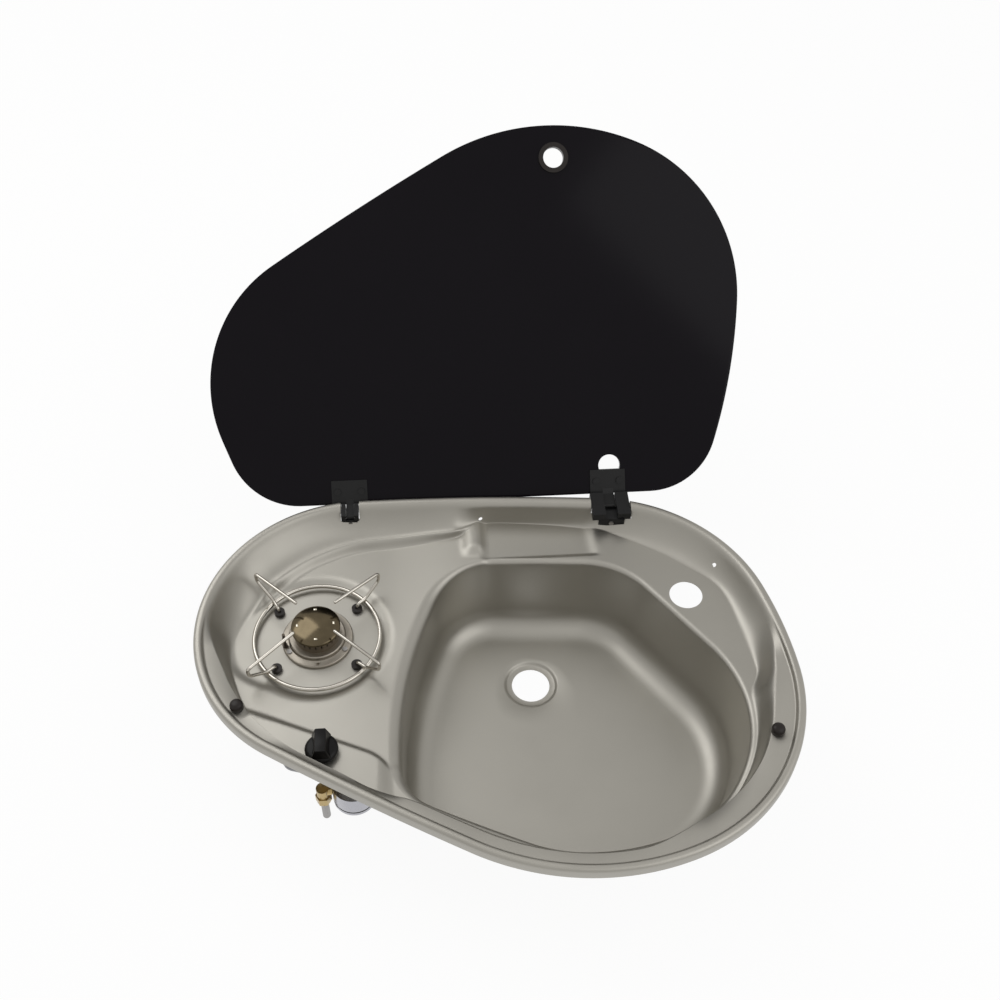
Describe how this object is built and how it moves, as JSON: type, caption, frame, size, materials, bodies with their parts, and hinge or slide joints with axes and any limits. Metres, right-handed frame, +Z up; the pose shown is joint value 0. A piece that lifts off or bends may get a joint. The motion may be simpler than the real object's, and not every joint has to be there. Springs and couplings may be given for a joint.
{
  "type": "hob and sink combination",
  "caption": "Built-in unit: pressed steel tray with a gas burner beside a washing bowl, closed by a hinged glass lid.",
  "frame": {"origin": "centre of the rim's outline box, on the worktop plane that the rim stands on", "axes": "+X to the right as seen from the front, +Y to the back where the hinges are, +Z up"},
  "size_m": [0.6002, 0.7199, 0.4158],
  "materials": {
    "tray_rim": "satin pressed stainless steel",
    "tray": "satin pressed stainless steel",
    "bowl": "satin pressed stainless steel",
    "rim_seal": "black foam rubber",
    "lid_bumpers": "moulded black rubber",
    "hinge_bracket_left": "black painted steel",
    "hinge_bracket_right": "black painted steel",
    "hinge_pins": "plain steel pins",
    "bracket_screws": "steel pan head screws",
    "support_grommets": "black silicone rubber",
    "burner_flange": "pressed steel",
    "flange_screws": "steel screws",
    "burner_head": "cast aluminium, heat stained",
    "burner_cap": "dark polished brass",
    "mixing_cup": "zinc plated steel",
    "injector": "turned brass",
    "thermocouple": "steel probe with a brass collar",
    "gas_tap": "forged brass",
    "tap_nut": "plated nut",
    "tap_spring": "steel wire spring",
    "push_rod": "steel rod",
    "spindle": "turned brass",
    "knob": "black moulded plastic",
    "magnet_unit": "plated steel can",
    "governor_housing": "bright plated can",
    "governor_gasket": "black rubber",
    "governor_cover": "bright plated cover",
    "governor_bracket": "plated steel strip",
    "inlet_elbow": "turned brass",
    "inlet_nut": "brass compression nut",
    "inlet_pipe": "steel gas pipe",
    "burner_pipe": "bent aluminium pipe",
    "burner_pipe_nuts": "brass union nut",
    "glass_lid": "black enamelled tempered glass",
    "hinge_arm_left": "black painted steel",
    "hinge_arm_right": "black painted steel",
    "clamp_plates": "black painted steel",
    "clamp_screws": "black steel screws",
    "finger_grommet": "black rubber",
    "pan_support": "bright plated steel wire"
  },
  "bodies": {
    "base": {"tray_rim": "tray_rim", "tray": "tray", "bowl": "bowl", "rim_seal": "rim_seal", "lid_bumpers": "lid_bumpers", "hinge_bracket_left": "hinge_bracket_left", "hinge_bracket_right": "hinge_bracket_right", "hinge_pins": "hinge_pins", "bracket_screws": "bracket_screws", "support_grommets": "support_grommets", "burner_flange": "burner_flange", "flange_screws": "flange_screws", "burner_head": "burner_head", "mixing_cup": "mixing_cup", "injector": "injector", "thermocouple": "thermocouple", "gas_tap": "gas_tap", "tap_nut": "tap_nut", "tap_spring": "tap_spring", "magnet_unit": "magnet_unit", "governor_housing": "governor_housing", "governor_gasket": "governor_gasket", "governor_cover": "governor_cover", "governor_bracket": "governor_bracket", "inlet_elbow": "inlet_elbow", "inlet_nut": "inlet_nut", "inlet_pipe": "inlet_pipe", "burner_pipe": "burner_pipe", "burner_pipe_nuts": "burner_pipe_nuts"},
    "lid": {"glass_lid": "glass_lid", "hinge_arm_left": "hinge_arm_left", "hinge_arm_right": "hinge_arm_right", "clamp_plates": "clamp_plates", "clamp_screws": "clamp_screws", "finger_grommet": "finger_grommet"},
    "support": {"pan_support": "pan_support"},
    "cap": {"burner_cap": "burner_cap"},
    "pushed": {"push_rod": "push_rod"},
    "turned": {"spindle": "spindle", "knob": "knob"}
  },
  "joints": [
    {"name": "lid_hinge", "type": "hinge", "parent": "base", "child": "lid", "pos_m": [0, 0.2062, 0.0026], "axis": [1, 0, 0], "range_deg": [0, 132.3]},
    {"name": "support_lift", "type": "slide", "parent": "base", "child": "support", "axis": [0, 0, 1], "range_m": [0, 0.06]},
    {"name": "cap_lift", "type": "slide", "parent": "base", "child": "cap", "axis": [0, 0, 1], "range_m": [0, 0.04]},
    {"name": "knob_push", "type": "slide", "parent": "base", "child": "pushed", "axis": [0, 0, -1], "range_m": [0, 0.003], "stiffness_N_per_m": 900, "deforming": ["tap_spring"]},
    {"name": "knob_turn", "type": "hinge", "parent": "pushed", "child": "turned", "pos_m": [-0.172, -0.072, 0], "axis": [0, 0, 1], "range_deg": [0, 210]}
  ]
}
